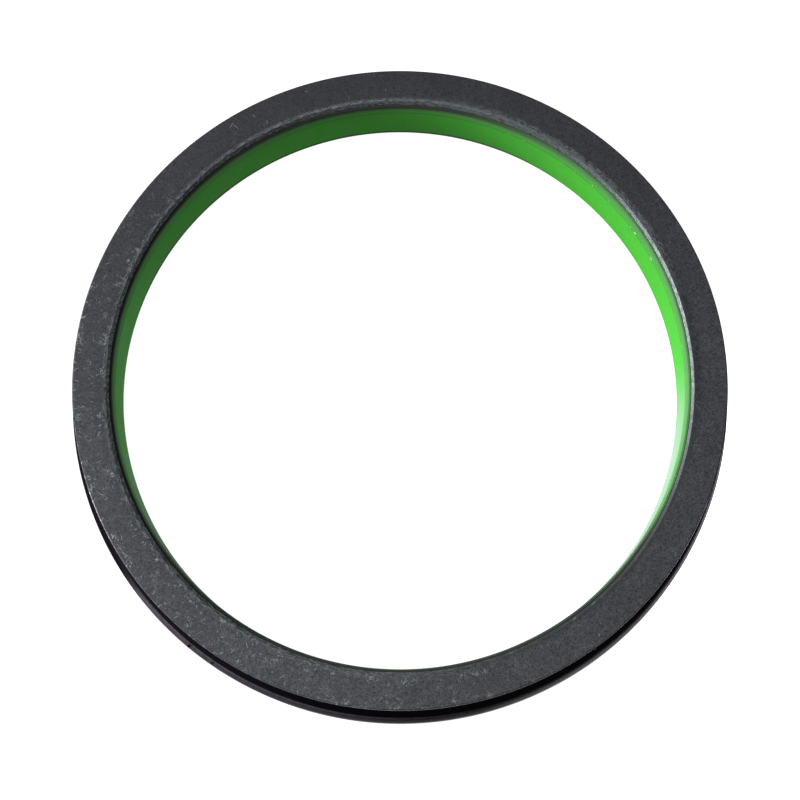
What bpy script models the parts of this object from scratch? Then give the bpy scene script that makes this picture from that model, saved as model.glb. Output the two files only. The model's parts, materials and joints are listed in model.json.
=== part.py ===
# Crankshaft oil seal of the cassette kind, modelled in metres with +Z up.
#
# A steel sleeve lined with green rubber turns with the crankshaft.
# A steel case with a black rubber seal body stays in the engine housing.
# The part lies on the rear edge of its case at z = 0, with its axis on Z,
# and the sleeve's flange is its front face.
# Every piece is turned about Z from a section drawn in radius and height.

import math

import bmesh
import bpy
from mathutils import Vector

# Main sizes
BORE_RADIUS = 0.0650
RADIAL_SECTION = 0.0115
SEAL_WIDTH = 0.0170
FIT_GAP = 0.0003

# Sleeve, drawn from sheet
SLEEVE_SHEET = 0.0010
SLEEVE_FRONT_BEND = 0.0016
SLEEVE_REAR_BEND = 0.0013
SLEEVE_REAR_REACH = 0.0025
SLEEVE_REAR = 0.0003
FLANGE_SETBACK = 0.0025
FLANGE_EDGE_ROUND = 0.0003

# Rubber lining of the bore
LINER_WALL = 0.0005
LINER_GAP = 0.0001
LINER_FRONT_RECESS = 0.0010
LINER_LEAD_LENGTH = 0.0021
LINER_LEAD_DEPTH = 0.0003
LINER_REAR_CHAMFER = 0.0003

# Case, drawn from sheet
CASE_SHEET = 0.0012
CASE_BAND = 0.0044
CASE_SHOULDER_ROUND = 0.0013
CASE_STEP = 0.0038
CASE_BEND = 0.0014
CASE_EDGE_CHAMFER = 0.0004
LEG_TO_SLEEVE = 0.0030

# Seal body: nose and jacket round the case
NOSE_GAP = 0.0016
NOSE_COVER = 0.0005
NOSE_SETBACK = 0.0003
NOSE_ROUND = 0.0008
JACKET_FLARE = 0.0014
BEAD_HEIGHT = 0.0013
BEAD_PROUD = 0.0005
LEG_ROOT = 0.0008

# Seal body: lips
LIP_HEIGHT = 0.0063
LIP_LAND = 0.00015
LIP_OIL_RISE = 0.0016
LIP_AIR_RISE = 0.0032
LIP_FLEX_OFFSET = 0.0017
LIP_FLEX_WALL = 0.0008
LIP_HEEL = 0.0004
DUST_LIP_RISE = 0.0007
DUST_LIP_TIP = 0.0003
DUST_LIP_ROOT = 0.0009
AXIAL_LIP_OFFSET = 0.0042
AXIAL_LIP_ROOT = 0.0009
AXIAL_LIP_TIP = 0.0004
AXIAL_LIP_LEAN = 0.0010

# Garter spring
SPRING_COIL_RADIUS = 0.0009
SPRING_TO_CASE = 0.0005
GROOVE_WRAP = math.radians(130.0)

# Smoothness of the turned forms
SEGMENTS = 64
ARC_STEP = math.radians(32.0)
SPRING_SIDES = 10
SHARP_ANGLE = math.radians(35.0)

# Radii that follow, from the shaft outwards
TUBE_BORE_RADIUS = BORE_RADIUS + LINER_WALL + LINER_GAP
TUBE_RADIUS = TUBE_BORE_RADIUS + SLEEVE_SHEET
CASE_RADIUS = BORE_RADIUS + RADIAL_SECTION
CASE_BAND_BORE = CASE_RADIUS - CASE_SHEET
WALL_RADIUS = CASE_RADIUS - CASE_STEP
WALL_BORE = WALL_RADIUS - CASE_SHEET
LEG_RADIUS = TUBE_RADIUS + LEG_TO_SLEEVE
FLANGE_RADIUS = CASE_RADIUS - FLANGE_SETBACK
SPRING_RADIUS = WALL_BORE - SPRING_TO_CASE - SPRING_COIL_RADIUS

# Heights that follow, from the front downwards
FLANGE_BACK = SEAL_WIDTH - SLEEVE_SHEET
NOSE_FRONT = FLANGE_BACK - NOSE_GAP
LEG_FRONT = NOSE_FRONT - NOSE_COVER - FIT_GAP
LEG_BACK = LEG_FRONT - CASE_SHEET


def clear_scene():
    for item in list(bpy.data.objects):
        bpy.data.objects.remove(item, do_unlink=True)


def arc_points(centre, radius, start, turn):
    """Points of an arc about a centre, from the start angle through the turn."""
    steps = max(1, round(abs(turn) / ARC_STEP))
    angles = [start + turn * step / steps for step in range(steps + 1)]
    return [centre + radius * Vector((math.cos(a), math.sin(a))) for a in angles]


def rounded_corner(before, here, after, fillet):
    """The arc that takes the place of the corner at here."""
    to_before = (before - here).normalized()
    to_after = (after - here).normalized()
    opening = to_before.angle(to_after)
    setback = fillet / math.tan(opening / 2)
    centre = here + (to_before + to_after).normalized() * fillet / math.sin(opening / 2)
    first = here + to_before * setback - centre
    last = here + to_after * setback - centre
    start = math.atan2(first.y, first.x)
    turn = math.atan2(last.y, last.x) - start
    turn = (turn + math.pi) % math.tau - math.pi
    return arc_points(centre, fillet, start, turn)


def section(corners):
    """A closed section from corners given as (radius, height) or (radius, height, fillet)."""
    places = [Vector(corner[:2]) for corner in corners]
    points = []
    for index, corner in enumerate(corners):
        here = places[index]
        if len(corner) == 3:
            after = places[(index + 1) % len(places)]
            points += rounded_corner(places[index - 1], here, after, corner[2])
        else:
            points.append(here)
    return points


def turned(name, points, material):
    """A closed ring: the section spun once round Z."""
    mesh = bpy.data.meshes.new(name)
    outline = bmesh.new()
    rim = [outline.verts.new((point.x, 0.0, point.y)) for point in points]
    edges = [outline.edges.new((rim[i - 1], rim[i])) for i in range(len(rim))]
    bmesh.ops.spin(
        outline,
        geom=rim + edges,
        cent=(0.0, 0.0, 0.0),
        axis=(0.0, 0.0, 1.0),
        angle=math.tau,
        steps=SEGMENTS,
        use_merge=True,
    )
    bmesh.ops.recalc_face_normals(outline, faces=outline.faces)
    outline.to_mesh(mesh)
    outline.free()
    mesh.shade_smooth()
    mesh.set_sharp_from_angle(angle=SHARP_ANGLE)
    mesh.materials.append(material)
    ring = bpy.data.objects.new(name, mesh)
    bpy.context.scene.collection.objects.link(ring)
    return ring


def plain_material(name, colour, roughness, metallic):
    material = bpy.data.materials.new(name)
    material.use_nodes = True
    shader = material.node_tree.nodes["Principled BSDF"]
    shader.inputs["Base Color"].default_value = (*colour, 1.0)
    shader.inputs["Roughness"].default_value = roughness
    shader.inputs["Metallic"].default_value = metallic
    material.diffuse_color = (*colour, 1.0)
    return material


def inner_sleeve(steel):
    """Wear sleeve: tube, broad front flange and a short flange turned out at the rear."""
    front = SEAL_WIDTH
    rear_inside = SLEEVE_REAR + SLEEVE_SHEET
    rear_radius = TUBE_RADIUS + SLEEVE_REAR_REACH
    corners = [
        (TUBE_BORE_RADIUS, front, SLEEVE_FRONT_BEND),
        (FLANGE_RADIUS, front, FLANGE_EDGE_ROUND),
        (FLANGE_RADIUS, FLANGE_BACK, FLANGE_EDGE_ROUND),
        (TUBE_RADIUS, FLANGE_BACK, SLEEVE_FRONT_BEND - SLEEVE_SHEET),
        (TUBE_RADIUS, rear_inside, SLEEVE_REAR_BEND - SLEEVE_SHEET),
        (rear_radius, rear_inside),
        (rear_radius, SLEEVE_REAR),
        (TUBE_BORE_RADIUS, SLEEVE_REAR, SLEEVE_REAR_BEND),
    ]
    return turned("inner_sleeve", section(corners), steel)


def bore_liner(rubber):
    """Rubber lining moulded in the sleeve's tube, with a lead-in for the crankshaft."""
    outer = BORE_RADIUS + LINER_WALL
    front = SEAL_WIDTH - LINER_FRONT_RECESS
    rear = SLEEVE_REAR
    corners = [
        (BORE_RADIUS + LINER_LEAD_DEPTH, front),
        (outer, front),
        (outer, rear),
        (BORE_RADIUS + LINER_REAR_CHAMFER, rear),
        (BORE_RADIUS, rear + LINER_REAR_CHAMFER),
        (BORE_RADIUS, front - LINER_LEAD_LENGTH),
    ]
    return turned("bore_liner", section(corners), rubber)


def outer_case(steel):
    """Stepped cup: press-fit band, wall under the rubber, and a leg turned in at the front."""
    inner_bend = CASE_BEND - CASE_SHEET
    corners = [
        (LEG_RADIUS, LEG_FRONT),
        (WALL_RADIUS, LEG_FRONT, CASE_BEND),
        (WALL_RADIUS, CASE_BAND, inner_bend),
        (CASE_RADIUS, CASE_BAND, CASE_SHOULDER_ROUND),
        (CASE_RADIUS, CASE_EDGE_CHAMFER),
        (CASE_RADIUS - CASE_EDGE_CHAMFER, 0.0),
        (CASE_BAND_BORE, 0.0),
        (CASE_BAND_BORE, CASE_BAND - CASE_SHEET, inner_bend),
        (WALL_BORE, CASE_BAND - CASE_SHEET, CASE_BEND),
        (WALL_BORE, LEG_BACK, inner_bend),
        (LEG_RADIUS, LEG_BACK),
    ]
    return turned("outer_case", section(corners), steel)


def spring_groove():
    """The groove round the inner side of the garter spring, from its lower to its upper edge."""
    centre = Vector((SPRING_RADIUS, LIP_HEIGHT))
    start = math.pi + GROOVE_WRAP / 2
    arc = arc_points(centre, SPRING_COIL_RADIUS + FIT_GAP, start, -GROOVE_WRAP)
    return [tuple(point) for point in arc]


def jacket_side():
    """The seal body's outside, from its foot on the case's shoulder up to the nose."""
    foot = CASE_BAND + FIT_GAP
    nose = FLANGE_RADIUS - NOSE_SETBACK
    jacket = nose + JACKET_FLARE
    return [
        (jacket, foot),
        (jacket + BEAD_PROUD, foot + BEAD_HEIGHT / 3),
        (jacket + BEAD_PROUD, foot + BEAD_HEIGHT * 2 / 3),
        (jacket, foot + BEAD_HEIGHT),
        (nose, NOSE_FRONT, NOSE_ROUND),
    ]


def front_lips():
    """The axial lip towards the flange and the dust lip on the tube."""
    axial = TUBE_RADIUS + AXIAL_LIP_OFFSET
    axial_top = FLANGE_BACK - FIT_GAP
    tip = TUBE_RADIUS + FIT_GAP
    root = TUBE_RADIUS + LIP_FLEX_OFFSET
    return [
        (axial + AXIAL_LIP_ROOT, NOSE_FRONT),
        (axial + AXIAL_LIP_LEAN + AXIAL_LIP_TIP, axial_top),
        (axial + AXIAL_LIP_LEAN, axial_top),
        (axial, NOSE_FRONT),
        (root + LIP_FLEX_WALL, NOSE_FRONT),
        (tip, NOSE_FRONT + DUST_LIP_RISE),
        (tip, NOSE_FRONT + DUST_LIP_RISE - DUST_LIP_TIP),
        (root, NOSE_FRONT - DUST_LIP_ROOT),
    ]


def main_lip():
    """The main lip's side towards the sleeve, down to its heel under the spring."""
    flex = TUBE_RADIUS + LIP_FLEX_OFFSET
    tip = TUBE_RADIUS + FIT_GAP
    heel = LIP_HEIGHT - LIP_OIL_RISE
    return [
        (flex, LIP_HEIGHT + LIP_AIR_RISE),
        (tip, LIP_HEIGHT + LIP_LAND),
        (tip, LIP_HEIGHT - LIP_LAND),
        (flex, heel),
        (SPRING_RADIUS - SPRING_COIL_RADIUS, heel - LIP_HEEL),
    ]


def case_side():
    """The seal body's side towards the case, from the lip's back round the case's leg."""
    flex_back = TUBE_RADIUS + LIP_FLEX_OFFSET + LIP_FLEX_WALL
    slot_back = LEG_BACK - FIT_GAP
    slot_front = LEG_FRONT + FIT_GAP
    return [
        (flex_back, LIP_HEIGHT + LIP_AIR_RISE),
        (flex_back, slot_back - LEG_ROOT),
        (WALL_BORE - FIT_GAP, slot_back - LEG_ROOT),
        (WALL_BORE - FIT_GAP, slot_back),
        (LEG_RADIUS - FIT_GAP, slot_back),
        (LEG_RADIUS - FIT_GAP, slot_front),
        (WALL_RADIUS + FIT_GAP, slot_front, CASE_BEND + FIT_GAP),
        (WALL_RADIUS + FIT_GAP, CASE_BAND + FIT_GAP),
    ]


def seal_body(rubber):
    """Black rubber round the case's leg, with the main, dust and axial lips in one piece."""
    corners = jacket_side() + front_lips() + main_lip() + spring_groove() + case_side()
    return turned("seal_body", section(corners), rubber)


def garter_spring(steel):
    """Close-wound spring, joined end to end, as a ring of its outer size."""
    centre = Vector((SPRING_RADIUS, LIP_HEIGHT))
    angles = [math.tau * side / SPRING_SIDES for side in range(SPRING_SIDES)]
    points = [centre + SPRING_COIL_RADIUS * Vector((math.cos(a), math.sin(a))) for a in angles]
    return turned("garter_spring", points, steel)


def axis_empty(name, pieces):
    """An empty on the seal's axis that carries the pieces that turn together."""
    empty = bpy.data.objects.new(name, None)
    empty.empty_display_size = BORE_RADIUS
    bpy.context.scene.collection.objects.link(empty)
    for piece in pieces:
        piece.parent = empty
    return empty


def build():
    clear_scene()
    phosphated_steel = plain_material("phosphated_steel", (0.078, 0.082, 0.088), 0.48, 0.55)
    green_rubber = plain_material("green_rubber", (0.090, 0.580, 0.045), 0.42, 0.0)
    case_steel = plain_material("case_steel", (0.140, 0.138, 0.142), 0.40, 0.80)
    black_rubber = plain_material("black_rubber", (0.012, 0.012, 0.014), 0.55, 0.0)
    spring_steel = plain_material("spring_steel", (0.480, 0.480, 0.470), 0.30, 1.0)

    sleeve = inner_sleeve(phosphated_steel)
    liner = bore_liner(green_rubber)
    case = outer_case(case_steel)
    body = seal_body(black_rubber)
    spring = garter_spring(spring_steel)
    axis_empty("shaft_side", [sleeve, liner])
    axis_empty("housing_side", [case, body, spring])


build()
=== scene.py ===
# %% [markdown]
# # A crankshaft oil seal, dressed for a photograph
#
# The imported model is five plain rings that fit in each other: a steel sleeve, its green
# rubber lining, a steel case, a black rubber seal body and a garter spring.
# This lesson gives each ring a finer form and the finish of the real thing, then lights it
# and looks at it as the photograph does. The model itself is never moved or changed.

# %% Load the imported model
import json
import math

import bmesh
import bpy
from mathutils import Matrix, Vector

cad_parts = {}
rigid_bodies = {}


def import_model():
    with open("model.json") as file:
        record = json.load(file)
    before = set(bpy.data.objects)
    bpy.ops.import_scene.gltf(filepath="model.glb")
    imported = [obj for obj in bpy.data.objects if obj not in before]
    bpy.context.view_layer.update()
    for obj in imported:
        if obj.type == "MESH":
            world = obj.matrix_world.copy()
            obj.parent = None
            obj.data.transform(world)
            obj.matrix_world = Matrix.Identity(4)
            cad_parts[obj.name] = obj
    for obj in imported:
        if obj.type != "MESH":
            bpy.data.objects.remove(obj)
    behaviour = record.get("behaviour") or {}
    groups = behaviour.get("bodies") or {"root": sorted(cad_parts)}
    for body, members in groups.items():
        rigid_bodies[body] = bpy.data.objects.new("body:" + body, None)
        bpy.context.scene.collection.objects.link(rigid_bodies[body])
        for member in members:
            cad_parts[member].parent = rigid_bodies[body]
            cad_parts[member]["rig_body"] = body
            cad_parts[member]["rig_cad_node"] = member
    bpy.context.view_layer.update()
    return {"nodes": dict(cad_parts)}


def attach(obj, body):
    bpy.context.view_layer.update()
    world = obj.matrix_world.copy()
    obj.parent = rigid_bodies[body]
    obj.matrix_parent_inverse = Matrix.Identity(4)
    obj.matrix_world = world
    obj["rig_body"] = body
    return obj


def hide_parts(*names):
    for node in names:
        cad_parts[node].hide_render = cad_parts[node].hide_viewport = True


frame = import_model()
print("nodes:", sorted(frame["nodes"]))

# %% [markdown]
# ## Sizes come from the model
#
# Every ring is turned about Z, so a ring is known by its inner and outer radius and by its
# lowest and highest point. They are read from the nodes, so a change of the model carries
# over to this scene by itself.

# %% Read the size of each ring
MM = 0.001


def ring_size(name):
    """Inner radius, outer radius, lowest and highest point of a turned node."""
    points = [vertex.co for vertex in frame["nodes"][name].data.vertices]
    radii = [point.xy.length for point in points]
    heights = [point.z for point in points]
    return min(radii), max(radii), min(heights), max(heights)


sleeve_bore, flange_radius, _, flange_front = ring_size("inner_sleeve")
bore_radius, liner_outer, liner_rear, liner_front = ring_size("bore_liner")
_, case_radius, _, _ = ring_size("outer_case")
_, bead_radius, _, _ = ring_size("seal_body")
print(f"bore {2 * bore_radius / MM:.1f} mm, case {2 * case_radius / MM:.1f} mm across")

# %% [markdown]
# ## The camera
#
# The camera comes early, because a few small marks are placed by where they show in the
# picture. It looks down on the ring, leaning 12.25 degrees from the axis, from five times
# the flange's radius away. The flange is 328 pixels in radius in a picture of 800, which
# gives the focal length. The picture's centre lies a little below the flange's centre, so
# the camera is moved in its own plane instead of being turned.

# %% Set the camera
PICTURE = 800
SENSOR = 36.0
CAMERA_LEAN = math.radians(12.25)
CAMERA_DISTANCE = flange_radius * 5
FLANGE_PIXELS = 328.0
FLANGE_CENTRE_PIXEL = (400.0, 377.0)

focal_pixels = FLANGE_PIXELS * CAMERA_DISTANCE / flange_radius
flange_centre = Vector((0.0, 0.0, flange_front))
camera_right = Vector((1.0, 0.0, 0.0))
camera_up = Vector((0.0, math.cos(CAMERA_LEAN), math.sin(CAMERA_LEAN)))
camera_back = Vector((0.0, -math.sin(CAMERA_LEAN), math.cos(CAMERA_LEAN)))
metres_per_pixel = CAMERA_DISTANCE / focal_pixels
aside = (PICTURE / 2 - FLANGE_CENTRE_PIXEL[0]) * metres_per_pixel
above = (FLANGE_CENTRE_PIXEL[1] - PICTURE / 2) * metres_per_pixel

camera_data = bpy.data.cameras.new("camera")
camera_data.sensor_width = SENSOR
camera_data.lens = focal_pixels * SENSOR / PICTURE
camera = bpy.data.objects.new("camera", camera_data)
camera.rotation_euler = (CAMERA_LEAN, 0.0, 0.0)
camera.location = (
    flange_centre + camera_right * aside + camera_up * above + camera_back * CAMERA_DISTANCE
)
bpy.context.scene.collection.objects.link(camera)
bpy.context.scene.camera = camera
print(f"lens {camera_data.lens:.0f} mm, {CAMERA_DISTANCE / MM:.0f} mm away")

# %% [markdown]
# A pixel of the picture is a line of sight. Where that line meets a level plane is the
# place that the pixel shows, so a mark seen in the picture can be put on the model.

# %% Find the place that a pixel shows
def place_of_pixel(across, down, height):
    """The point at the given height that shows at this pixel of the picture."""
    sight = (
        camera_right * (across - PICTURE / 2)
        + camera_up * (PICTURE / 2 - down)
        - camera_back * focal_pixels
    )
    start = Vector(camera.location)
    return start + sight * ((height - start.z) / sight.z)


# %% [markdown]
# ## Turning a finer ring
#
# The model's rings have 64 flat sides, enough for a bench test but not for a close look.
# A lathe needs only the section of a ring. The section is already there: it is the row of
# points where the node crosses the X axis. So the node is copied, everything but that row
# is deleted, and Spin turns the row round Z again with many more steps.
# A small Bevel then rounds the corners, because no real edge is sharp, and Weighted Normal
# keeps the broad flat faces flat to the eye.

# %% A helper that leaves nothing selected
def deselect_all():
    for item in bpy.context.selected_objects:
        item.select_set(False)


# %% A helper that edits one object
def edit_only(piece):
    """Makes the piece the only one selected, and opens it in edit mode."""
    deselect_all()
    piece.select_set(True)
    bpy.context.view_layer.objects.active = piece
    bpy.ops.object.mode_set(mode="EDIT")


# %% A helper that adds a modifier and applies it
def apply_modifier(piece, kind, **settings):
    deselect_all()
    piece.select_set(True)
    bpy.context.view_layer.objects.active = piece
    modifier = piece.modifiers.new(kind.title(), kind)
    for name, value in settings.items():
        setattr(modifier, name, value)
    bpy.ops.object.modifier_apply(modifier=modifier.name)


# %% Copy a node and keep only its section
SAME_POINT = 0.001 * MM


def section_of(node, name):
    """A copy of a turned node, reduced to its section at +X."""
    piece = frame["nodes"][node].copy()
    piece.data = piece.data.copy()
    piece.name = name
    piece.data.name = name
    piece.parent = None
    piece.data.materials.clear()
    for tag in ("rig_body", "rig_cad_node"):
        del piece[tag]
    bpy.context.scene.collection.objects.link(piece)
    edit_only(piece)
    bpy.ops.mesh.select_all(action="SELECT")
    bpy.ops.mesh.remove_doubles(threshold=SAME_POINT)
    mesh = bmesh.from_edit_mesh(piece.data)
    for vertex in mesh.verts:
        vertex.select = not (vertex.co.x > 0 and abs(vertex.co.y) < SAME_POINT)
    mesh.select_flush_mode()
    bmesh.update_edit_mesh(piece.data)
    bpy.ops.mesh.delete(type="VERT")
    bpy.ops.object.mode_set(mode="OBJECT")
    return piece


# %% Turn the section and round its corners
RING_STEPS = 288
ROUND_FROM = math.radians(20)


def turn_ring(piece, rounding):
    """Makes the section a fine ring, its corners rounded by a small width."""
    edit_only(piece)
    bpy.ops.mesh.select_all(action="SELECT")
    bpy.ops.mesh.spin(
        steps=RING_STEPS,
        angle=math.tau,
        center=(0.0, 0.0, 0.0),
        axis=(0.0, 0.0, 1.0),
    )
    bpy.ops.mesh.select_all(action="SELECT")
    bpy.ops.mesh.remove_doubles(threshold=SAME_POINT)
    bpy.ops.mesh.normals_make_consistent(inside=False)
    bpy.ops.object.mode_set(mode="OBJECT")
    apply_modifier(
        piece,
        "BEVEL",
        width=rounding,
        segments=3,
        limit_method="ANGLE",
        angle_limit=ROUND_FROM,
    )
    bpy.ops.object.shade_smooth()
    print(piece.name, "has", len(piece.data.polygons), "faces")


# %% A helper that puts a finished piece in its place
def seat(piece, node, body):
    """The piece stands for its node, and moves with the node's body."""
    apply_modifier(piece, "WEIGHTED_NORMAL", keep_sharp=True)
    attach(piece, body)
    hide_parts(node)


# %% [markdown]
# ## The sleeve
#
# The sleeve is pressed from sheet steel, so its corners are generous and its outer edge is
# a sheared one with the burr taken off. At the left of the picture the edge has a small
# nick. A cutter shaped like a coarse file's corner takes it out with a Boolean. At the
# lower right a speck of the burr is left, which is added after the seal body's flash.

# %% Turn the sleeve
SLEEVE_ROUNDING = 0.10 * MM
sleeve = section_of("inner_sleeve", "wear_sleeve")
turn_ring(sleeve, SLEEVE_ROUNDING)

# %% Cut the nick in the flange's edge
NICK_PIXEL = (75.0, 418.5)
NICK_DEPTH = 0.55 * MM
CUTTER_TAPER = 0.7
CUTTER_LENGTH = 4 * MM
CUTTER_ROUNDING = 0.08 * MM
nick_place = place_of_pixel(*NICK_PIXEL, flange_front)
nick_place *= flange_radius / nick_place.xy.length
nick_place.z = flange_front
deselect_all()
bpy.ops.mesh.primitive_cone_add(
    vertices=4,
    radius1=NICK_DEPTH,
    radius2=NICK_DEPTH * CUTTER_TAPER,
    depth=CUTTER_LENGTH,
    location=nick_place,
    rotation=(0.0, 0.0, math.atan2(nick_place.y, nick_place.x)),
)
cutter = bpy.context.object
edit_only(cutter)
bpy.ops.mesh.select_all(action="SELECT")
bpy.ops.mesh.bevel(offset=CUTTER_ROUNDING, segments=2)
bpy.ops.object.mode_set(mode="OBJECT")
apply_modifier(sleeve, "BOOLEAN", operation="DIFFERENCE", object=cutter)
bpy.data.objects.remove(cutter)
print("sleeve with its nick has", len(sleeve.data.polygons), "faces")

# %% [markdown]
# ## The lining
#
# The lining is moulded in the sleeve. Rubber takes the mould's edges as soft ones, so its
# rounding is wider than the steel's. It is the same form all the way round. The model
# leaves a hair of air behind it. On the real seal the rubber is bonded to the steel and
# creeps up the rolled corner, so the section's outer points are moved to the steel first.

# %% Move the section's back to the steel, and turn the lining
BOND_GAP = 0.01 * MM
RUBBER_CREEP = 0.14 * MM
LINING_ROUNDING = 0.05 * MM
liner = section_of("bore_liner", "green_lining")
edit_only(liner)
mesh = bmesh.from_edit_mesh(liner.data)
for vertex in mesh.verts:
    vertex.select = vertex.co.x > liner_outer - SAME_POINT
mesh.select_flush_mode()
bmesh.update_edit_mesh(liner.data)
bpy.ops.transform.translate(value=(sleeve_bore - BOND_GAP - liner_outer, 0.0, 0.0))
mesh = bmesh.from_edit_mesh(liner.data)
for vertex in mesh.verts:
    vertex.select = vertex.select and vertex.co.z > liner_front - SAME_POINT
mesh.select_flush_mode()
bmesh.update_edit_mesh(liner.data)
bpy.ops.transform.translate(value=(RUBBER_CREEP, 0.0, RUBBER_CREEP))
bpy.ops.object.mode_set(mode="OBJECT")
turn_ring(liner, LINING_ROUNDING)
seat(liner, "bore_liner", "shaft_side")

# %% [markdown]
# ## The case
#
# The case is a stepped cup of drawn steel. Only its press-fit band and rounded shoulder
# show, below the rubber.

# %% Turn the case
CASE_ROUNDING = 0.12 * MM
case = section_of("outer_case", "press_fit_case")
turn_ring(case, CASE_ROUNDING)
seat(case, "outer_case", "housing_side")

# %% [markdown]
# ## The seal body
#
# The black rubber wraps the front of the case and carries the lips. The mould leaves thin
# flash where its halves meet, and most of it is trimmed.

# %% Turn the seal body
MOULD_ROUNDING = 0.12 * MM
seal_body = section_of("seal_body", "lip_and_jacket")
turn_ring(seal_body, MOULD_ROUNDING)

# %% [markdown]
# Two stubs of the flash are left at the lower left, on the bead. Each is a small torn tab:
# a cube divided and pulled to a ragged wedge. A smaller tab is the burr on the sleeve.

# %% Pull a cube to a torn tab
TAB_TAPER = 0.55
TAB_DROOP = 0.25
TAB_TEAR = 0.12
TAB_WAVES = 9.0


def torn_tab(across, down, radius, height, length, thickness):
    """A ragged tab that stands out from a ring of this radius, beside this pixel."""
    place = place_of_pixel(across, down, height)
    turn = math.atan2(place.y, place.x)
    deselect_all()
    bpy.ops.mesh.primitive_cube_add(size=1.0)
    tab = bpy.context.object
    edit_only(tab)
    bpy.ops.mesh.select_all(action="SELECT")
    bpy.ops.mesh.subdivide(number_cuts=3)
    mesh = bmesh.from_edit_mesh(tab.data)
    for vertex in mesh.verts:
        out = vertex.co.x + 0.5
        taper = 1.0 - TAB_TAPER * out
        tear = TAB_TEAR * math.sin(TAB_WAVES * vertex.co.y + across) * out
        reach = radius + (out + tear) * length
        side = vertex.co.y * length * taper
        rise = vertex.co.z * thickness * taper - out * TAB_DROOP * length
        vertex.co = (
            reach * math.cos(turn) - side * math.sin(turn),
            reach * math.sin(turn) + side * math.cos(turn),
            height + rise,
        )
    bmesh.update_edit_mesh(tab.data)
    bpy.ops.object.mode_set(mode="OBJECT")
    bpy.ops.object.shade_smooth()
    return tab


def join_tabs(piece, tabs):
    deselect_all()
    for tab in tabs:
        tab.select_set(True)
    piece.select_set(True)
    bpy.context.view_layer.objects.active = piece
    bpy.ops.object.join()


# %% Add the flash, and seat the seal body
flash_root = bead_radius - 0.1 * MM
bead_heights = [
    vertex.co.z
    for vertex in frame["nodes"]["seal_body"].data.vertices
    if vertex.co.xy.length > flash_root
]
bead_height = sum(bead_heights) / len(bead_heights)
print(f"bead {bead_height / MM:.2f} mm above the floor")
flash = [
    torn_tab(188.5, 646.5, flash_root, bead_height, 0.90 * MM, 0.35 * MM),
    torn_tab(213.5, 661.0, flash_root, bead_height, 0.68 * MM, 0.30 * MM),
]
join_tabs(seal_body, flash)
seat(seal_body, "seal_body", "housing_side")

# %% Add the burr, and seat the sleeve
burr_root = flange_radius - 0.12 * MM
burr = torn_tab(596.0, 650.5, burr_root, flange_front - 0.20 * MM, 0.50 * MM, 0.22 * MM)
join_tabs(sleeve, [burr])
seat(sleeve, "inner_sleeve", "shaft_side")

# %% [markdown]
# ## The garter spring
#
# The spring is a close-wound coil of 0.4 mm wire, bent to a ring and hooked end to end.
# Its wire follows a helix that runs round the ring. A curve through the helix with a round
# bevel gives the wire its thickness. The centre line is worked out from the node's ring,
# and the pitch is a little more than the wire's thickness, so that the turns stay apart.

# %% Count the turns of wire
WIRE_RADIUS = 0.2 * MM
WIRE_PITCH = 0.42 * MM
POINTS_PER_TURN = 8
spring_inner, spring_outer, spring_low, spring_high = ring_size("garter_spring")
spring_radius = (spring_inner + spring_outer) / 2
spring_height = (spring_low + spring_high) / 2
coil_radius = (spring_outer - spring_inner) / 2 - WIRE_RADIUS
turns = int(math.tau * spring_radius / WIRE_PITCH)
print(turns, "turns of wire")


# %% Wind the wire
def wire_point(step):
    """A point of the helix, this many steps along the wire."""
    round_ring = math.tau * step / (turns * POINTS_PER_TURN)
    round_wire = math.tau * step / POINTS_PER_TURN
    radius = spring_radius + coil_radius * math.cos(round_wire)
    height = spring_height + coil_radius * math.sin(round_wire)
    return radius * math.cos(round_ring), radius * math.sin(round_ring), height, 1.0


wire = bpy.data.curves.new("coil_spring", "CURVE")
wire.dimensions = "3D"
wire.bevel_depth = WIRE_RADIUS
wire.bevel_resolution = 0
wire.use_fill_caps = True
path = wire.splines.new("POLY")
path.points.add(turns * POINTS_PER_TURN - 1)
for step, point in enumerate(path.points):
    point.co = wire_point(step)
path.use_cyclic_u = True
spring = bpy.data.objects.new("coil_spring", wire)
bpy.context.scene.collection.objects.link(spring)
deselect_all()
spring.select_set(True)
bpy.context.view_layer.objects.active = spring
bpy.ops.object.convert(target="MESH")
bpy.ops.object.shade_smooth()
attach(spring, "housing_side")
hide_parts("garter_spring")
print("spring has", len(spring.data.polygons), "faces")

# %% [markdown]
# ## Materials
#
# Colours are written as they look on a screen, in sRGB, and a shader works in linear
# light, so one function turns the one into the other. A second one adds a node with its
# settings. An input of the node is a plain value, or comes from another node.

# %% Turn a screen colour into a linear one
def linear(hex_colour):
    """An sRGB hex colour as linear red, green, blue and full alpha."""
    parts = [int(hex_colour[i:i + 2], 16) / 255 for i in (1, 3, 5)]
    return [p / 12.92 if p <= 0.04045 else ((p + 0.055) / 1.055) ** 2.4 for p in parts] + [1.0]


# %% Add a node, and start a material
def add_node(material, kind, inputs, **settings):
    """Adds a node. An input is a value, an output, or a node whose first output is used."""
    node = material.node_tree.nodes.new(kind)
    for name, value in settings.items():
        setattr(node, name, value)
    for socket, value in inputs.items():
        if isinstance(value, bpy.types.Node):
            value = next(output for output in value.outputs if output.enabled)
        if isinstance(value, bpy.types.NodeSocket):
            material.node_tree.links.new(value, node.inputs[socket])
        else:
            node.inputs[socket].default_value = value
    return node


def new_material(name):
    """A material with nodes, and its Principled shader."""
    material = bpy.data.materials.new(name)
    material.use_nodes = True
    return material, material.node_tree.nodes["Principled BSDF"]


# %% [markdown]
# Four kinds of node do most of the work. A noise gives a cloudy pattern. A step turns the
# stretch of a value between inputs 1 and 2 into a soft rise from input 3 to input 4, and
# where input 4 comes from another step the two are multiplied. Math combines two numbers.
# A mix blends two colours, inputs 6 and 7, by the share in input 0.

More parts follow.
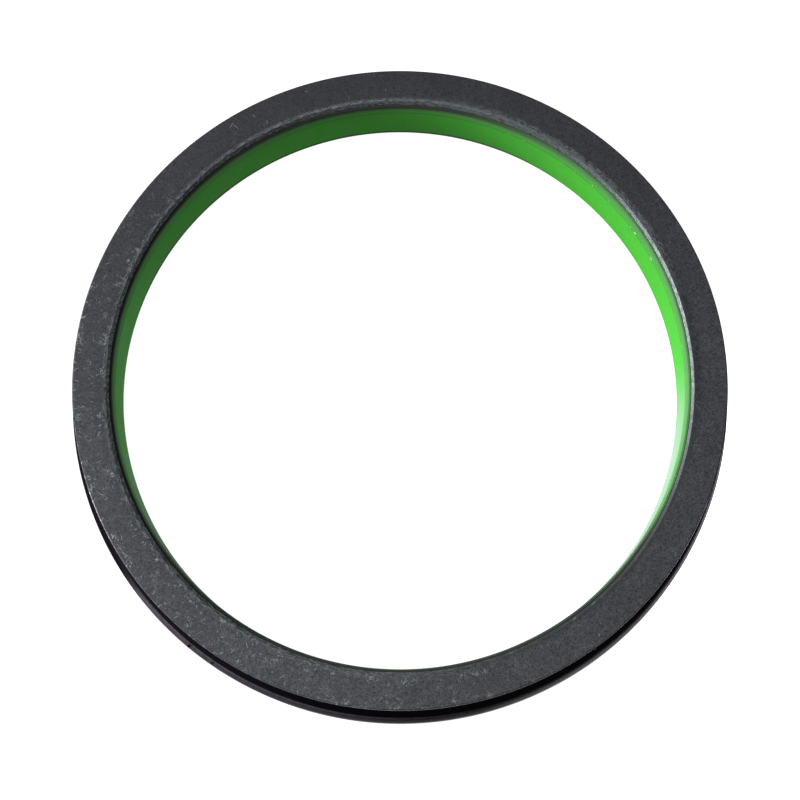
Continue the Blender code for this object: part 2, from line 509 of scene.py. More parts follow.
# %% Short names for the kinds of node used most
NOISE = "ShaderNodeTexNoise"
STEP = "ShaderNodeMapRange"
MATH = "ShaderNodeMath"
MIX = "ShaderNodeMix"
SOFT = {"interpolation_type": "SMOOTHSTEP"}
COLOUR = {"data_type": "RGBA"}
NUMBER = {"data_type": "FLOAT"}

# %% [markdown]
# Draw marks and wear on a ring run along its radius or round it. So the patterns need a
# place told in those terms. The direction from the axis, as a unit vector, goes round
# without a seam. Stretched by one number it sets how fine a pattern is round the ring, and
# the radius or the height, times another number, sets how fine it is the other way.

# %% Ring coordinates
def ring_coordinates(material):
    """Place, its X, Y and Z parts, direction from the axis and radius."""
    place = add_node(material, "ShaderNodeTexCoord", {}).outputs["Object"]
    parts = add_node(material, "ShaderNodeSeparateXYZ", {0: place}).outputs
    flat = add_node(material, "ShaderNodeCombineXYZ", {0: parts["X"], 1: parts["Y"]})
    unit = add_node(material, "ShaderNodeVectorMath", {0: flat}, operation="NORMALIZE")
    radius = add_node(material, "ShaderNodeVectorMath", {0: flat}, operation="LENGTH")
    return place, parts, unit, radius


def stretched(material, unit, along, round_size, along_size):
    """Coordinates in which one unit is round_size round the ring and along_size along it."""
    across = flange_radius / round_size
    wide = add_node(material, "ShaderNodeVectorMath", {0: unit, "Scale": across}, operation="SCALE")
    far = add_node(material, MATH, {0: along, 1: 1.0 / along_size}, operation="MULTIPLY")
    shift = add_node(material, "ShaderNodeCombineXYZ", {2: far})
    return add_node(material, "ShaderNodeVectorMath", {0: wide, 1: shift}, operation="ADD")


# %% [markdown]
# ### Phosphated steel
#
# The sleeve is cold-rolled steel with a zinc phosphate coat, rubbed with oil. The coat is a
# felt of crystals a tenth of a millimetre long, which makes the steel dark, grey and
# satin. The crystals are drawn at 0.3 mm, because a finer grain wouldn't show in the
# picture. A coarser mottle lies over them, and large patches where the oil dried browner.

# %% Lay the felt of crystals
CRYSTAL = 0.30 * MM
MOTTLE = 1.1 * MM
PATCH = 12.0 * MM
phosphate, shader = new_material("zinc_phosphated_steel")
place, parts, unit, radius = ring_coordinates(phosphate)
grain = add_node(
    phosphate, NOISE, {"Vector": place, "Scale": 1 / CRYSTAL, "Detail": 3.0, "Roughness": 0.7}
)
mottle = add_node(
    phosphate, NOISE, {"Vector": place, "Scale": 1 / MOTTLE, "Detail": 4.0, "Roughness": 0.6}
)
patches = add_node(
    phosphate, NOISE, {"Vector": place, "Scale": 1 / PATCH, "Detail": 3.0, "Roughness": 0.6}
)
fine_felt = add_node(phosphate, STEP, {0: grain, 1: 0.28, 2: 0.72, 4: 0.80}, **SOFT)
coarse_felt = add_node(phosphate, STEP, {0: mottle, 1: 0.32, 2: 0.68, 4: 0.20}, **SOFT)
felt = add_node(phosphate, MATH, {0: fine_felt, 1: coarse_felt}, operation="ADD")
coat = add_node(phosphate, MIX, {0: felt, 6: linear("#232428"), 7: linear("#525458")}, **COLOUR)
oil = add_node(phosphate, STEP, {0: patches, 1: 0.35, 2: 0.65, 4: 0.20}, **SOFT)
oiled = add_node(phosphate, MIX, {0: oil, 6: coat, 7: linear("#2C2B29")}, **COLOUR)

# %% [markdown]
# Handling has marked the coat, most at the left and at the bottom of the picture. Small
# curls of pale coat come in clusters near both edges of the flange. They are the contour
# lines of one noise, cut short by a second one. Short scratches run every way between
# them, with a few pale specks and as many dark pits.

# %% Say where the flange was handled
across = add_node(
    phosphate, STEP, {0: parts["X"], 1: 45 * MM, 2: -30 * MM, 3: 0.25, 4: 1.0}, **SOFT
)
handled = add_node(
    phosphate, STEP, {0: parts["Y"], 1: 58 * MM, 2: 20 * MM, 3: 0.15, 4: across}, **SOFT
)

# %% Scatter the curls
CURL = 0.75 * MM
CLUSTER = 3.4 * MM
curl_noise = add_node(
    phosphate, NOISE, {"Vector": place, "Scale": 1 / CURL, "Detail": 2.0, "Roughness": 0.6}
)
curl_level = add_node(phosphate, MATH, {0: curl_noise, 1: 0.5}, operation="SUBTRACT")
curl_level = add_node(phosphate, MATH, {0: curl_level}, operation="ABSOLUTE")
clusters = add_node(
    phosphate, NOISE, {"Vector": place, "Scale": 1 / CLUSTER, "Detail": 3.0, "Roughness": 0.75}
)
outer_band = (flange_radius - 2.4 * MM, flange_radius - 0.6 * MM)
inner_band = (sleeve_bore + 4.0 * MM, sleeve_bore + 2.0 * MM)
outer = add_node(phosphate, STEP, {0: radius, 1: outer_band[0], 2: outer_band[1], 3: 0.25}, **SOFT)
inner = add_node(phosphate, STEP, {0: radius, 1: inner_band[0], 2: inner_band[1], 3: 0.25}, **SOFT)
near_edge = add_node(phosphate, MATH, {0: outer, 1: inner}, operation="MAXIMUM")
curl_reach = add_node(phosphate, MATH, {0: near_edge, 1: handled}, operation="MULTIPLY")
cluster = add_node(phosphate, STEP, {0: clusters, 1: 0.53, 2: 0.63, 4: curl_reach}, **SOFT)
curls = add_node(phosphate, STEP, {0: curl_level, 1: 0.045, 2: 0.010, 4: cluster}, **SOFT)

# %% Draw the scratches, the specks and the pits
SCRATCH_WIDTH = 0.26 * MM
SCRATCH_LENGTH = 2.4 * MM
SPECK = 0.55 * MM


def scratches(turn, keep):
    """Short marks in one direction, where a stretched noise peaks."""
    where = add_node(
        phosphate,
        "ShaderNodeMapping",
        {
            "Vector": place,
            "Rotation": (0.0, 0.0, math.radians(turn)),
            "Scale": (SCRATCH_WIDTH, SCRATCH_LENGTH, SCRATCH_LENGTH),
        },
        vector_type="TEXTURE",
    )
    peaks = add_node(phosphate, NOISE, {"Vector": where, "Scale": 1.0, "Detail": 0.0})
    return add_node(phosphate, STEP, {0: peaks, 1: keep, 2: keep + 0.06, 4: handled}, **SOFT)


spots = add_node(phosphate, NOISE, {"Vector": place, "Scale": 1 / SPECK, "Detail": 0.0})
marks_and_halo = add_node(phosphate, STEP, {0: spots, 1: 0.79, 2: 0.83, 4: handled}, **SOFT)
pits_and_shade = add_node(phosphate, STEP, {0: spots, 1: 0.29, 2: 0.23, 4: 0.8}, **SOFT)
for turn in (12.0, -38.0, 71.0, 118.0):
    scratch = scratches(turn, 0.79)
    marks_and_halo = add_node(phosphate, MATH, {0: marks_and_halo, 1: scratch}, operation="MAXIMUM")
for turn in (-8.0, 48.0, 96.0):
    scratch = scratches(turn, 0.80)
    pits_and_shade = add_node(phosphate, MATH, {0: pits_and_shade, 1: scratch}, operation="MAXIMUM")

# %% [markdown]
# A few marks are plain enough in the photograph to be put where they are: a rub on the
# corner at the bottom, scuffs at the right of it and at the left, and thin scratches at
# the top. Each is a soft ellipse. A row gives the pixel where it shows, half its length
# and half its width in millimetres, and its turn in degrees.

# %% Put the plainest marks where they show
MARK_DEPTH = 2 * MM
MARKS = (
    (390.5, 672.5, 2.3, 0.16, 0.0),
    (454.5, 701.5, 0.5, 0.13, -35.0),
    (511.0, 653.0, 0.9, 0.22, 18.0),
    (574.5, 618.5, 0.7, 0.26, 42.0),
    (593.5, 603.0, 0.8, 0.26, 45.0),
    (599.0, 634.5, 0.6, 0.12, -70.0),
    (83.0, 406.5, 0.35, 0.16, -25.0),
    (100.0, 425.5, 0.5, 0.18, 40.0),
    (231.5, 125.5, 1.1, 0.10, 65.0),
    (235.5, 126.5, 1.2, 0.10, -42.0),
    (254.0, 116.0, 0.6, 0.11, -55.0),
    (267.0, 122.0, 0.8, 0.10, -72.0),
    (306.5, 91.5, 0.4, 0.15, -35.0),
    (385.5, 90.0, 0.5, 0.08, -80.0),
    (669.5, 242.0, 0.3, 0.12, -60.0),
)
for column, row, half_length, half_width, turn in MARKS:
    where = add_node(
        phosphate,
        "ShaderNodeMapping",
        {
            "Vector": place,
            "Location": place_of_pixel(column, row, flange_front),
            "Rotation": (0.0, 0.0, math.radians(turn)),
            "Scale": (half_length * MM, half_width * MM, MARK_DEPTH),
        },
        vector_type="TEXTURE",
    )
    ellipse = add_node(phosphate, "ShaderNodeTexGradient", {0: where}, gradient_type="SPHERICAL")
    mark = add_node(phosphate, STEP, {0: ellipse.outputs["Fac"], 2: 0.5}, **SOFT)
    marks_and_halo = add_node(phosphate, MATH, {0: marks_and_halo, 1: mark}, operation="MAXIMUM")
print(len(MARKS), "marks put in place")

# %% [markdown]
# On the rolled corner the drawing die has smeared the coat, and fitting has rubbed it. So
# short streaks run round the bore there, pale at the left. At the right they are painted
# darker, as painted shade that dims the corner's highlight.

# %% Streak the rolled corner
STREAK_LENGTH = 1.3 * MM
STREAK_WIDTH = 0.20 * MM
rolled = (sleeve_bore + 1.9 * MM, sleeve_bore + 0.9 * MM)
corner = add_node(phosphate, STEP, {0: radius, 1: rolled[0], 2: rolled[1]}, **SOFT)
streak_place = stretched(phosphate, unit, radius, STREAK_LENGTH, STREAK_WIDTH)
streaks = add_node(
    phosphate, NOISE, {"Vector": streak_place, "Scale": 1.0, "Detail": 4.0, "Roughness": 0.75}
)
rubbed = add_node(phosphate, STEP, {0: streaks, 1: 0.44, 2: 0.62, 4: corner}, **SOFT)
rightward = add_node(phosphate, STEP, {0: parts["X"], 1: -25 * MM, 2: 50 * MM}, **SOFT)
# Painted shade: the streak colour is darker at the right, to dim the corner's highlight.
streaks_shaded_right = add_node(
    phosphate, MIX, {0: rightward, 6: linear("#747A7D"), 7: linear("#404B48")}, **COLOUR
)

# %% [markdown]
# Beside the corner a mottled painted shade lies on the coat, faint at the left and strong at
# the right. At the upper right a painted highlight runs out on the flange in pale streaks.

# %% Paint shade and a highlight beside the corner
# Painted shade: a mottled dark band beside the corner, stronger at the right.
left_shade = add_node(phosphate, STEP, {0: parts["X"], 1: -20 * MM, 2: -50 * MM, 4: 0.35}, **SOFT)
right_shade = add_node(phosphate, STEP, {0: parts["X"], 1: 10 * MM, 2: 45 * MM, 4: 0.90}, **SOFT)
right_shade = add_node(phosphate, STEP, {0: parts["Y"], 1: -30 * MM, 2: 0.0, 4: right_shade}, **SOFT)
shade_mottle = add_node(phosphate, MATH, {0: left_shade, 1: right_shade}, operation="MAXIMUM")
shade_band = (sleeve_bore + 3.1 * MM, sleeve_bore + 2.0 * MM)
shade_mottle = add_node(phosphate, STEP, {0: radius, 1: shade_band[0], 2: shade_band[1], 4: shade_mottle}, **SOFT)
shade_mottle = add_node(phosphate, STEP, {0: mottle, 1: 0.42, 2: 0.54, 4: shade_mottle}, **SOFT)
pits_and_shade = add_node(phosphate, MATH, {0: pits_and_shade, 1: shade_mottle}, operation="MAXIMUM")
# Painted highlight: pale streaks beside the corner at the upper right, widening its highlight.
highlight_halo = add_node(phosphate, STEP, {0: parts["X"], 1: 0.0, 2: 30 * MM, 4: 0.8}, **SOFT)
highlight_halo = add_node(phosphate, STEP, {0: parts["Y"], 1: 15 * MM, 2: 35 * MM, 4: highlight_halo}, **SOFT)
halo_band = (sleeve_bore + 2.7 * MM, sleeve_bore + 1.7 * MM)
highlight_halo = add_node(phosphate, STEP, {0: radius, 1: halo_band[0], 2: halo_band[1], 4: highlight_halo}, **SOFT)
highlight_halo = add_node(phosphate, STEP, {0: streaks, 1: 0.46, 2: 0.58, 4: highlight_halo}, **SOFT)
marks_and_halo = add_node(phosphate, MATH, {0: marks_and_halo, 1: highlight_halo}, operation="MAXIMUM")

# %% [markdown]
# At the right the corner is painted dark as shade, so that it mirrors the light no more
# brightly than it does. The flange's sheared edge is dull, and painted dark as shade, but
# for the stretch at the lower left and bottom.

# %% Paint shade on the corner at the right and on the sheared edge
# Painted shade on the rolled corner at the right.
corner_shade = add_node(
    phosphate, STEP, {0: parts["Y"], 1: 45 * MM, 2: 5 * MM, 4: rightward}, **SOFT
)
corner_shade = add_node(
    phosphate, STEP, {0: radius, 1: rolled[0], 2: rolled[1], 4: corner_shade}, **SOFT
)
# Painted shade on the sheared edge, left out at the lower left and bottom; the edge is dulled too.
edge = (flange_radius - 0.26 * MM, flange_radius - 0.14 * MM)
dull_shaded_edge = add_node(phosphate, STEP, {0: parts["Y"], 1: -30 * MM, 2: -22 * MM}, **SOFT)
dull_shaded_edge = add_node(phosphate, STEP, {0: radius, 1: edge[0], 2: edge[1], 4: dull_shaded_edge}, **SOFT)
painted_shade_places = add_node(phosphate, MATH, {0: corner_shade, 1: 0.6}, operation="MULTIPLY")
painted_shade_places = add_node(phosphate, MATH, {0: painted_shade_places, 1: dull_shaded_edge}, operation="MAXIMUM")

# %% Colour the coat
pale_curls = add_node(phosphate, MATH, {0: curls, 1: 0.80}, operation="MULTIPLY")
pale_rest = add_node(phosphate, MATH, {0: marks_and_halo, 1: 0.45}, operation="MULTIPLY")
pale = add_node(phosphate, MATH, {0: pale_curls, 1: pale_rest}, operation="MAXIMUM")
dark = add_node(phosphate, MATH, {0: pits_and_shade, 1: 0.6}, operation="MULTIPLY")
pitted_and_shaded = add_node(phosphate, MIX, {0: dark, 6: oiled, 7: linear("#121316")}, **COLOUR)
marked_and_haloed = add_node(phosphate, MIX, {0: pale, 6: pitted_and_shaded, 7: linear("#9AA3A6")}, **COLOUR)
streaked = add_node(phosphate, MIX, {0: rubbed, 6: marked_and_haloed, 7: streaks_shaded_right}, **COLOUR)
# Painted shade: the corner at the right and the sheared edge are darkened here.
steel_colour = add_node(
    phosphate, MIX, {0: painted_shade_places, 6: streaked, 7: linear("#0F1012")}, **COLOUR
)

# %% Give the coat its sheen and its crystals
satin = add_node(phosphate, STEP, {0: felt, 1: 0.25, 2: 0.75, 3: 0.40, 4: 0.28}, **SOFT)
corner_satin = add_node(phosphate, MIX, {0: corner, 2: satin, 3: 0.50}, **NUMBER)
rubbed_satin = add_node(phosphate, MIX, {0: rubbed, 2: corner_satin, 3: 0.42}, **NUMBER)
sheen = add_node(phosphate, MIX, {0: dull_shaded_edge, 2: rubbed_satin, 3: 0.95}, **NUMBER)
cuts = add_node(phosphate, MATH, {0: marks_and_halo, 1: 0.6}, operation="MULTIPLY")
relief = add_node(phosphate, MATH, {0: grain, 1: cuts}, operation="SUBTRACT")
bump = add_node(
    phosphate, "ShaderNodeBump", {"Height": relief, "Strength": 0.45, "Distance": 0.025 * MM}
)
phosphate.node_tree.links.new(steel_colour.outputs[2], shader.inputs["Base Color"])
phosphate.node_tree.links.new(sheen.outputs["Result"], shader.inputs["Roughness"])
phosphate.node_tree.links.new(bump.outputs["Normal"], shader.inputs["Normal"])
shader.inputs["Metallic"].default_value = 0.75
sleeve.data.materials.append(phosphate)
print(phosphate.name, "has", len(phosphate.node_tree.nodes), "nodes")

# %% [markdown]
# ### Green fluorocarbon rubber
#
# The lining is moulded rubber with a deep green pigment. Off the mould its skin is dull,
# with a faint cloudiness. The lead-in at the front has a grey film, partly mould release and
# partly painted shade, heaviest on the near side. A painted shade darkens it where it meets
# the steel, less at the right, and there painted glints lie on the film's lower line. A
# painted glare lies pale on the rubber at the lower right of the picture, a fainter one at
# the lower left, and a thin painted light at the left lets the green show through. Along the
# far side a painted shade line shows at the rear. Fluorocarbon rubber has an index of
# refraction near 1.4. Its dull skin mirrors less than that, so its specular level is low.

# %% Make the green rubber
green, shader = new_material("green_fluorocarbon_rubber")
place, parts, unit, _ = ring_coordinates(green)
height = parts["Z"]
lead_line = liner_front - 2.9 * MM
cloud = add_node(
    green, NOISE, {"Vector": place, "Scale": 1 / (5.0 * MM), "Detail": 5.0, "Roughness": 0.6}
)
skin_place = stretched(green, unit, height, 1.6 * MM, 0.5 * MM)
skin = add_node(green, NOISE, {"Vector": skin_place, "Scale": 1.0, "Detail": 4.0, "Roughness": 0.7})
pigment = add_node(green, MIX, {0: cloud, 6: linear("#236D14"), 7: linear("#2B7C18")}, **COLOUR)
skin_share = add_node(green, STEP, {0: skin, 1: 0.30, 2: 0.70, 4: 0.35}, **SOFT)
speckled = add_node(green, MIX, {0: skin_share, 6: pigment, 7: linear("#1E5A14")}, **COLOUR)

# %% Lay the film and the painted shade on the lead-in
# Painted shade: the lead-in is darkened where it meets the steel, less at the right, and on the near
# side.
seam_shade_reach = add_node(green, STEP, {0: parts["X"], 1: 10 * MM, 2: 58 * MM, 3: 1.0, 4: 0.12}, **SOFT)
film_and_shade_right = add_node(green, STEP, {0: parts["X"], 1: 0.0, 2: 50 * MM, 3: 0.55, 4: 0.95}, **SOFT)
film_and_shade_reach = add_node(
    green, STEP, {0: parts["Y"], 1: -22 * MM, 2: -45 * MM, 3: film_and_shade_right, 4: 1.25}, **SOFT
)
film_line = (lead_line - 0.25 * MM, lead_line + 1.40 * MM)
film_edge = add_node(
    green, STEP, {0: height, 1: film_line[0], 2: film_line[1], 4: film_and_shade_reach}, **SOFT
)
film_skin = add_node(green, STEP, {0: skin, 1: 0.30, 2: 0.60, 3: 0.46, 4: 0.66}, **SOFT)
film = add_node(green, MATH, {0: film_edge, 1: film_skin}, operation="MULTIPLY")
filmed_and_shaded = add_node(green, MIX, {0: film, 6: speckled, 7: linear("#39473A")}, **COLOUR)
seam_shade_line = (lead_line + 1.2 * MM, liner_front - 0.2 * MM)
seam_shade_rise = add_node(green, STEP, {0: height, 1: seam_shade_line[0], 2: seam_shade_line[1], 4: seam_shade_reach}, **SOFT)
near_side_shade = add_node(green, STEP, {0: parts["Y"], 1: -22 * MM, 2: -45 * MM, 4: film_edge}, **SOFT)
oil_and_shade_cover = add_node(green, MATH, {0: seam_shade_rise, 1: near_side_shade}, operation="MAXIMUM")
seam_shaded = add_node(green, MIX, {0: oil_and_shade_cover, 6: filmed_and_shaded, 7: linear("#20251F")}, **COLOUR)

# %% Paint the lead-in's shade line, and the glints on it
# Painted shade: a dark line along the lead-in.
line_low = add_node(
    green, STEP, {0: height, 1: lead_line - 0.42 * MM, 2: lead_line - 0.20 * MM, 4: 0.75}, **SOFT
)
line_shade = add_node(
    green, STEP, {0: height, 1: lead_line + 0.10 * MM, 2: lead_line, 4: line_low}, **SOFT
)
lined = add_node(green, MIX, {0: line_shade, 6: seam_shaded, 7: linear("#12300C")}, **COLOUR)
# Painted glints: pale specks on the lead-in's line at the upper right.
glint_place = stretched(green, unit, height, 0.9 * MM, 0.30 * MM)
glint_noise = add_node(green, NOISE, {"Vector": glint_place, "Scale": 1.0, "Detail": 0.0})
glint_band = add_node(
    green, STEP, {0: height, 1: lead_line - 0.22 * MM, 2: lead_line - 0.10 * MM, 4: 0.8}, **SOFT
)
for limit in (
    {0: height, 1: lead_line + 0.22 * MM, 2: lead_line + 0.10 * MM},
    {0: parts["X"], 1: 12 * MM, 2: 32 * MM},
    {0: parts["Y"], 1: 2 * MM, 2: 12 * MM},
):
    glint_band = add_node(green, STEP, limit | {4: glint_band}, **SOFT)
painted_glints = add_node(green, STEP, {0: glint_noise, 1: 0.74, 2: 0.79, 4: glint_band}, **SOFT)
glinted = add_node(green, MIX, {0: painted_glints, 6: lined, 7: linear("#C4D2C2")}, **COLOUR)

# %% Paint the glare and the light on the wall
GLARE_TOP = (lead_line + 0.3 * MM, lead_line - 1.5 * MM)


def painted_light_patch(centre, reach, cover):
    """How much painted light lies on the wall round this place, below the lead-in."""
    below = add_node(green, STEP, {0: height, 1: GLARE_TOP[0], 2: GLARE_TOP[1], 4: cover}, **SOFT)
    away = add_node(green, "ShaderNodeVectorMath", {0: place, 1: centre}, operation="DISTANCE")
    return add_node(green, STEP, {0: away, 1: reach, 2: 0.3 * reach, 4: below}, **SOFT)


# Painted glare at the lower right and the lower left, and painted light on the left wall.
right_glare = painted_light_patch((61 * MM, -26 * MM, 5 * MM), 34 * MM, 0.85)
left_glare = painted_light_patch((-58 * MM, -30 * MM, 5 * MM), 28 * MM, 0.45)
glare_cover = add_node(green, MATH, {0: right_glare, 1: left_glare}, operation="MAXIMUM")
glared = add_node(green, MIX, {0: glare_cover, 6: glinted, 7: linear("#5E6D62")}, **COLOUR)
left_wall_light = painted_light_patch((-62 * MM, -4 * MM, 7 * MM), 42 * MM, 0.50)
glared = add_node(green, MIX, {0: left_wall_light, 6: glared, 7: linear("#4C8C46")}, **COLOUR)

# %% Paint the shade line at the rear, and finish the green rubber
# Painted shade: a dark line at the rear edge along the far side.
rear_shade_line = add_node(
    green, STEP, {0: height, 1: liner_rear + 1.70 * MM, 2: liner_rear + 1.40 * MM, 4: 0.8}, **SOFT
)
rear_shade_line = add_node(green, STEP, {0: parts["X"], 1: 45 * MM, 2: 20 * MM, 4: rear_shade_line}, **SOFT)
rear_shade_line = add_node(green, STEP, {0: parts["Y"], 1: 12 * MM, 2: 30 * MM, 4: rear_shade_line}, **SOFT)
lining_colour = add_node(green, MIX, {0: rear_shade_line, 6: glared, 7: linear("#343130")}, **COLOUR)
bump = add_node(green, "ShaderNodeBump", {"Height": skin, "Strength": 0.25, "Distance": 0.03 * MM})
dull = add_node(green, STEP, {0: cloud, 1: 0.3, 2: 0.7, 3: 0.76, 4: 0.88}, **SOFT)
green.node_tree.links.new(lining_colour.outputs[2], shader.inputs["Base Color"])
green.node_tree.links.new(dull.outputs["Result"], shader.inputs["Roughness"])
green.node_tree.links.new(bump.outputs["Normal"], shader.inputs["Normal"])
shader.inputs["IOR"].default_value = 1.4
shader.inputs["Specular IOR Level"].default_value = 0.15
liner.data.materials.append(green)
print(green.name, "has", len(green.node_tree.nodes), "nodes")

# %% [markdown]
# ### Drawn steel
#
# The case is bare deep-drawn steel. The die leaves fine marks along the direction of the
# draw, from the shoulder to the rear edge, and the oil on it has browned a little. At the
# left of the picture the band is painted black as shade, and mirrors next to nothing.
# Towards the right the band is lighter.

# %% Make the drawn steel
drawn, shader = new_material("deep_drawn_steel")
place, parts, unit, _ = ring_coordinates(drawn)
draw_place = stretched(drawn, unit, parts["Z"], 0.30 * MM, 8.0 * MM)
draw_marks = add_node(
    drawn, NOISE, {"Vector": draw_place, "Scale": 1.0, "Detail": 4.0, "Roughness": 0.6}
)
oil = add_node(
    drawn, NOISE, {"Vector": place, "Scale": 1 / (14 * MM), "Detail": 4.0, "Roughness": 0.6}
)
oil_and_shade_cover = add_node(drawn, STEP, {0: oil, 1: 0.40, 2: 0.65, 4: 0.6}, **SOFT)
# Painted shade: the band is black and dull at the far left.
band_shade_left = add_node(drawn, STEP, {0: parts["X"], 1: -54 * MM, 2: -64 * MM}, **SOFT)
bare = add_node(drawn, MIX, {0: draw_marks, 6: linear("#272529"), 7: linear("#39373B")}, **COLOUR)
# Lighter towards the right.
lighter_right = add_node(drawn, STEP, {0: parts["X"], 1: 5 * MM, 2: 45 * MM, 4: 0.8}, **SOFT)
browned = add_node(drawn, MIX, {0: oil_and_shade_cover, 6: bare, 7: linear("#38312D")}, **COLOUR)
browned = add_node(drawn, MIX, {0: lighter_right, 6: browned, 7: linear("#7A787B")}, **COLOUR)
case_colour = add_node(drawn, MIX, {0: band_shade_left, 6: browned, 7: linear("#0A080B")}, **COLOUR)

# %% Give the drawn steel its sheen
satin = add_node(drawn, STEP, {0: draw_marks, 1: 0.3, 2: 0.7, 3: 0.45, 4: 0.62}, **SOFT)
sheen = add_node(drawn, MIX, {0: band_shade_left, 2: satin, 3: 0.95}, **NUMBER)
metal = add_node(drawn, MIX, {0: band_shade_left, 2: 0.85, 3: 0.0}, **NUMBER)
mirror = add_node(drawn, MIX, {0: band_shade_left, 2: 0.5, 3: 0.0}, **NUMBER)
bump = add_node(
    drawn, "ShaderNodeBump", {"Height": draw_marks, "Strength": 0.3, "Distance": 0.01 * MM}
)
drawn.node_tree.links.new(case_colour.outputs[2], shader.inputs["Base Color"])
drawn.node_tree.links.new(sheen.outputs["Result"], shader.inputs["Roughness"])
drawn.node_tree.links.new(bump.outputs["Normal"], shader.inputs["Normal"])
drawn.node_tree.links.new(metal.outputs["Result"], shader.inputs["Metallic"])
drawn.node_tree.links.new(mirror.outputs["Result"], shader.inputs["Specular IOR Level"])
case.data.materials.append(drawn)
print(drawn.name, "has", len(drawn.node_tree.nodes), "nodes")

# %% [markdown]
# ### Black nitrile rubber
#
# The seal body is nitrile rubber filled with carbon black, and as dull as soot from the
# mould. The crest of the bead carries a painted purple-grey highlight. Nitrile has an index
# of refraction near 1.52, but so rough a skin mirrors next to nothing.

# %% Make the black rubber
black, shader = new_material("black_nitrile_rubber")
place, parts, _, radius = ring_coordinates(black)
dust = add_node(
    black, NOISE, {"Vector": place, "Scale": 1 / (0.8 * MM), "Detail": 6.0, "Roughness": 0.7}
)
crest_line = (bead_radius - 0.42 * MM, bead_radius - 0.18 * MM)
# Painted highlight on the crest of the bead, left out at the far left.
crest_highlight_share = add_node(black, STEP, {0: dust, 1: 0.30, 2: 0.60, 3: 0.3, 4: 1.0}, **SOFT)
crest_highlight_share = add_node(black, STEP, {0: parts["X"], 1: -66 * MM, 2: -52 * MM, 4: crest_highlight_share}, **SOFT)
crest_highlight_share = add_node(
    black, STEP, {0: radius, 1: bead_radius + 0.2 * MM, 2: bead_radius, 4: crest_highlight_share}, **SOFT
)
painted_crest_highlight = add_node(black, STEP, {0: radius, 1: crest_line[0], 2: crest_line[1], 4: crest_highlight_share}, **SOFT)
rubber_colour = add_node(
    black, MIX, {0: painted_crest_highlight, 6: linear("#0A080C"), 7: linear("#38333B")}, **COLOUR
)
bump = add_node(black, "ShaderNodeBump", {"Height": dust, "Strength": 0.25, "Distance": 0.03 * MM})
dull = add_node(black, STEP, {0: dust, 1: 0.3, 2: 0.7, 3: 0.96, 4: 0.88}, **SOFT)
black.node_tree.links.new(rubber_colour.outputs[2], shader.inputs["Base Color"])
black.node_tree.links.new(dull.outputs["Result"], shader.inputs["Roughness"])
black.node_tree.links.new(bump.outputs["Normal"], shader.inputs["Normal"])
shader.inputs["IOR"].default_value = 1.52
shader.inputs["Specular IOR Level"].default_value = 0.0
seal_body.data.materials.append(black)
print(black.name, "has", len(black.node_tree.nodes), "nodes")

# %% [markdown]
# ### Spring wire
#
# Garter springs are wound from bright drawn carbon steel wire. The die's marks run along
# the wire, too fine to show, so a faint mottle stands for them.

# %% Make the spring wire
spring_wire, shader = new_material("drawn_spring_wire")
place = add_node(spring_wire, "ShaderNodeTexCoord", {}).outputs["Object"]
mottle = add_node(spring_wire, NOISE, {"Vector": place, "Scale": 1 / (0.8 * MM), "Detail": 3.0})
wire_colour = add_node(
    spring_wire, MIX, {0: mottle, 6: linear("#A5A39C"), 7: linear("#C9C8C2")}, **COLOUR
)
wire_sheen = add_node(spring_wire, STEP, {0: mottle, 1: 0.3, 2: 0.7, 3: 0.25, 4: 0.33}, **SOFT)
spring_wire.node_tree.links.new(wire_colour.outputs[2], shader.inputs["Base Color"])
spring_wire.node_tree.links.new(wire_sheen.outputs["Result"], shader.inputs["Roughness"])
shader.inputs["Metallic"].default_value = 1.0
spring.data.materials.append(spring_wire)
print(spring_wire.name, "has", len(spring_wire.node_tree.nodes), "nodes")

# %% [markdown]
# ## Floor and light
#
# The photograph has a plain white ground without a shadow, and soft light from the left:
# the right of the bore is bright, its far side is dark, and the flange is lighter at the
# left and at the bottom. Products are laid on a frosted sheet that is lit from below to
# get such a ground. Here the floor glows by itself, just enough to be white in a shadow,
# and a painted patch of stronger glow at the right, with no lamp under it, is mirrored by
# the right side of the bore. A low softbox at the left lights the bore, and one overhead is
# mirrored by the flange.

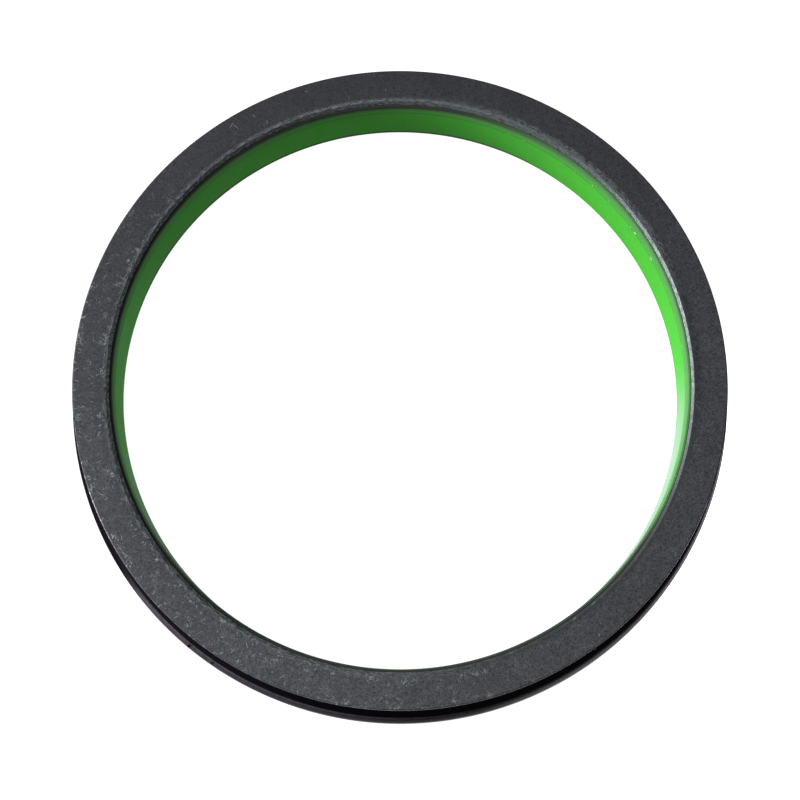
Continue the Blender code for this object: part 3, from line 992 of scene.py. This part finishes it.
# %% Lay the floor
FLOOR_SIZE = 6.0
GLOW_PATCH_CENTRE = (0.058, -0.022, 0.0)
GLOW_PATCH_REACH = 0.050
GLOW_PATCH_STRENGTH = 3.6
deselect_all()
bpy.ops.mesh.primitive_plane_add(size=FLOOR_SIZE, location=(0.0, 0.0, 0.0))
floor = bpy.context.object
floor.name = "floor"
white, shader = new_material("frosted_white_acrylic")
shader.inputs["Base Color"].default_value = linear("#595959")
shader.inputs["Roughness"].default_value = 0.9
shader.inputs["Specular IOR Level"].default_value = 0.0
place = add_node(white, "ShaderNodeTexCoord", {}).outputs["Object"]
# Painted glow: a pool of stronger glow on the floor at the right, with no lamp under it.
glow_patch_place = add_node(
    white,
    "ShaderNodeMapping",
    {"Vector": place, "Location": GLOW_PATCH_CENTRE, "Scale": (GLOW_PATCH_REACH, GLOW_PATCH_REACH, GLOW_PATCH_REACH)},
    vector_type="TEXTURE",
)
glow_patch = add_node(
    white, "ShaderNodeTexGradient", {"Vector": glow_patch_place}, gradient_type="SPHERICAL"
).outputs["Fac"]
glow = add_node(white, STEP, {0: glow_patch, 3: 1.0, 4: GLOW_PATCH_STRENGTH}, **SOFT)
white.node_tree.links.new(glow.outputs["Result"], shader.inputs["Emission Strength"])
shader.inputs["Emission Color"].default_value = linear("#FFFFFF")
floor.data.materials.append(white)

# %% Light the scene
def soft_light(name, place, width, depth, radiance):
    """A flat soft light that faces the ring. Its radiance is that of its surface."""
    data = bpy.data.lights.new(name, "AREA")
    data.shape = "RECTANGLE"
    data.size = width
    data.size_y = depth
    data.energy = radiance * math.pi * width * depth
    light = bpy.data.objects.new(name, data)
    light.location = place
    light.rotation_euler = (-Vector(place)).to_track_quat("-Z", "Y").to_euler()
    bpy.context.scene.collection.objects.link(light)
    return light


soft_light("overhead_softbox", (-0.24, -0.05, 1.10), 0.60, 0.66, 1.30)
soft_light("right_fill", (0.36, 0.10, 1.10), 0.55, 0.60, 0.60)
soft_light("left_softbox", (-0.95, 0.11, 0.36), 0.50, 0.50, 60.0)
print(len(bpy.data.lights), "lights")

# %% Add the light of the room
ROOM_COLOUR = (0.95, 0.97, 1.0, 1.0)
ROOM_STRENGTH = 0.20
room = bpy.data.worlds.new("room")
room.use_nodes = True
backdrop = room.node_tree.nodes["Background"]
backdrop.inputs["Color"].default_value = ROOM_COLOUR
backdrop.inputs["Strength"].default_value = ROOM_STRENGTH
bpy.context.scene.world = room
bpy.context.scene.view_settings.view_transform = "Standard"
